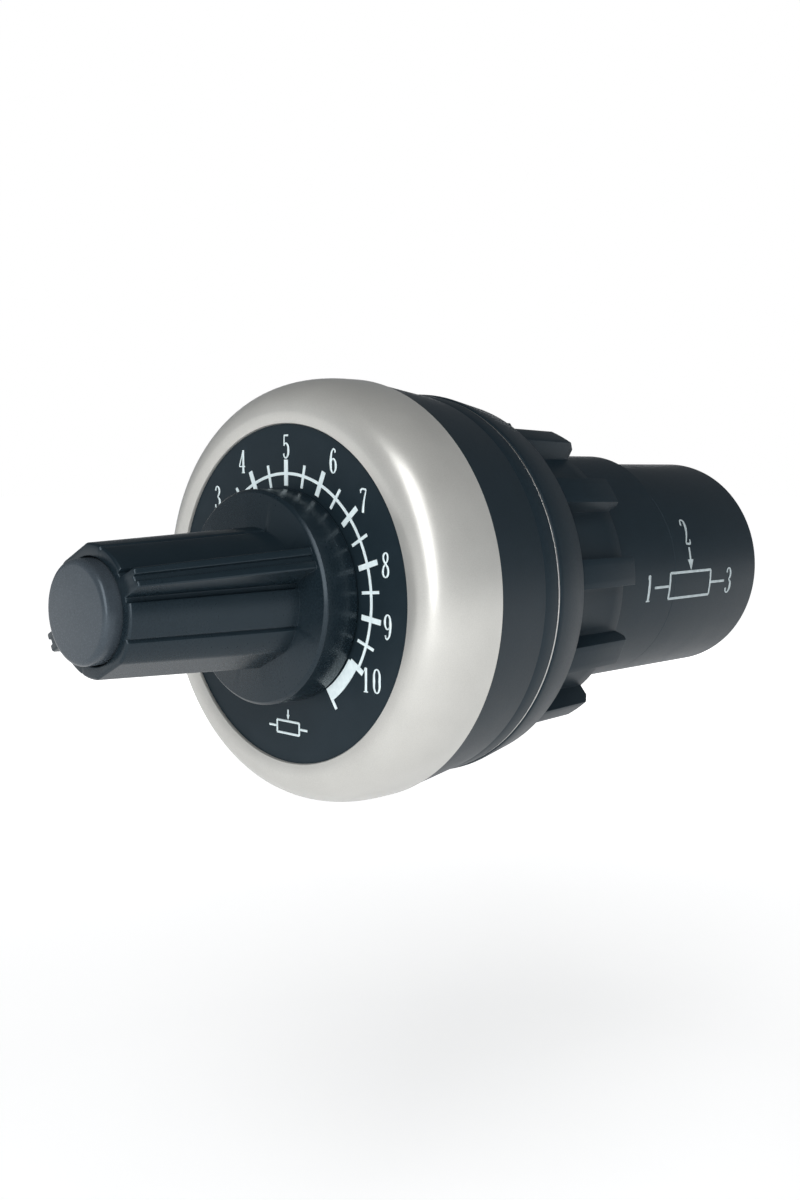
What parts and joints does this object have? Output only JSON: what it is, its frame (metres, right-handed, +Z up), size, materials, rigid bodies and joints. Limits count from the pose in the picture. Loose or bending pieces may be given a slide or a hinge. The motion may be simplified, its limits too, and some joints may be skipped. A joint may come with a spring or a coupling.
{
  "type": "rotary potentiometer",
  "caption": "Panel-mount rotary potentiometer with a long two-rib knob, numbered dial, silver bezel, lugged nut and round rear barrel.",
  "frame": {"origin": "on the spindle axis, in the plane of the gasket's rear face where the panel seats", "axes": "+Y along the spindle axis from the knob to the terminals, +Z up through the 5 of the dial"},
  "size_m": [0.0295, 0.0631, 0.0294],
  "materials": {
    "bezel_silver": "satin",
    "black_plastic": "fine moulded, satin",
    "knob_plastic": "smooth moulded, satin",
    "cap_plastic": "smooth moulded",
    "dial_black": "satin lacquer",
    "white_print": "matt ink",
    "gasket_rubber": "matt",
    "bright_steel": "turned and nickel plated",
    "brass": "plain",
    "zinc_casting": "die cast",
    "bearing_nylon": "natural nylon",
    "phenolic": "paper phenolic",
    "carbon_track": "printed carbon"
  },
  "bodies": {
    "housing": {"bezel_ring": "bezel_silver", "dial_plate": "dial_black", "scale_marks": "white_print", "head_housing": "black_plastic", "panel_gasket": "gasket_rubber", "front_bearing": "bearing_nylon", "bushing_plate": "zinc_casting", "bushing_nut": "bright_steel", "lock_washer": "bright_steel", "pot_case": "bright_steel", "element_base": "phenolic", "resistive_track": "carbon_track", "collector_ring": "brass", "barrel_shell": "black_plastic", "terminal_block": "black_plastic", "terminal_1": "brass", "terminal_2": "brass", "terminal_3": "brass"},
    "spindle": {"knob": "knob_plastic", "knob_cap": "cap_plastic", "pointer_line": "white_print", "knob_insert": "brass", "knob_screw": "bright_steel", "shaft": "bright_steel", "retaining_clip": "bright_steel", "wiper_carrier": "phenolic", "wiper_spring": "brass"},
    "nut_washer": {"thrust_washer": "bright_steel"},
    "nut": {"mounting_nut": "black_plastic"},
    "clamp_1": {"clamp_washer_1": "bright_steel"},
    "screw_1": {"terminal_screw_1": "bright_steel"},
    "clamp_2": {"clamp_washer_2": "bright_steel"},
    "screw_2": {"terminal_screw_2": "bright_steel"},
    "clamp_3": {"clamp_washer_3": "bright_steel"},
    "screw_3": {"terminal_screw_3": "bright_steel"}
  },
  "joints": [
    {"name": "spindle_turn", "type": "hinge", "parent": "housing", "child": "spindle", "pos_m": [0, 0, 0], "axis": [0, 1, 0], "range_deg": [-34, 266]},
    {"name": "nut_slide", "type": "slide", "parent": "housing", "child": "nut_washer", "axis": [0, 1, 0], "range_m": [0, 0.006]},
    {"name": "nut_turn", "type": "hinge", "parent": "nut_washer", "child": "nut", "pos_m": [0, 0, 0], "axis": [0, 1, 0], "range_deg": [0, 1440]},
    {"name": "clamp_1_slide", "type": "slide", "parent": "housing", "child": "clamp_1", "axis": [0, 1, 0], "range_m": [0, 0.002]},
    {"name": "screw_1_turn", "type": "hinge", "parent": "clamp_1", "child": "screw_1", "pos_m": [0.00398, 0, 0.0023], "axis": [0, 1, 0], "range_deg": [0, 1440]},
    {"name": "clamp_2_slide", "type": "slide", "parent": "housing", "child": "clamp_2", "axis": [0, 1, 0], "range_m": [0, 0.002]},
    {"name": "screw_2_turn", "type": "hinge", "parent": "clamp_2", "child": "screw_2", "pos_m": [0, 0, -0.0046], "axis": [0, 1, 0], "range_deg": [0, 1440]},
    {"name": "clamp_3_slide", "type": "slide", "parent": "housing", "child": "clamp_3", "axis": [0, 1, 0], "range_m": [0, 0.002]},
    {"name": "screw_3_turn", "type": "hinge", "parent": "clamp_3", "child": "screw_3", "pos_m": [-0.00398, 0, 0.0023], "axis": [0, 1, 0], "range_deg": [0, 1440]}
  ],
  "couplings": [
    {"joint": "nut_slide", "follows": "nut_turn", "m_per_rad": 0.00023873},
    {"joint": "screw_1_turn", "follows": "clamp_1_slide", "rad_per_m": 12566},
    {"joint": "screw_2_turn", "follows": "clamp_2_slide", "rad_per_m": 12566},
    {"joint": "screw_3_turn", "follows": "clamp_3_slide", "rad_per_m": 12566}
  ]
}
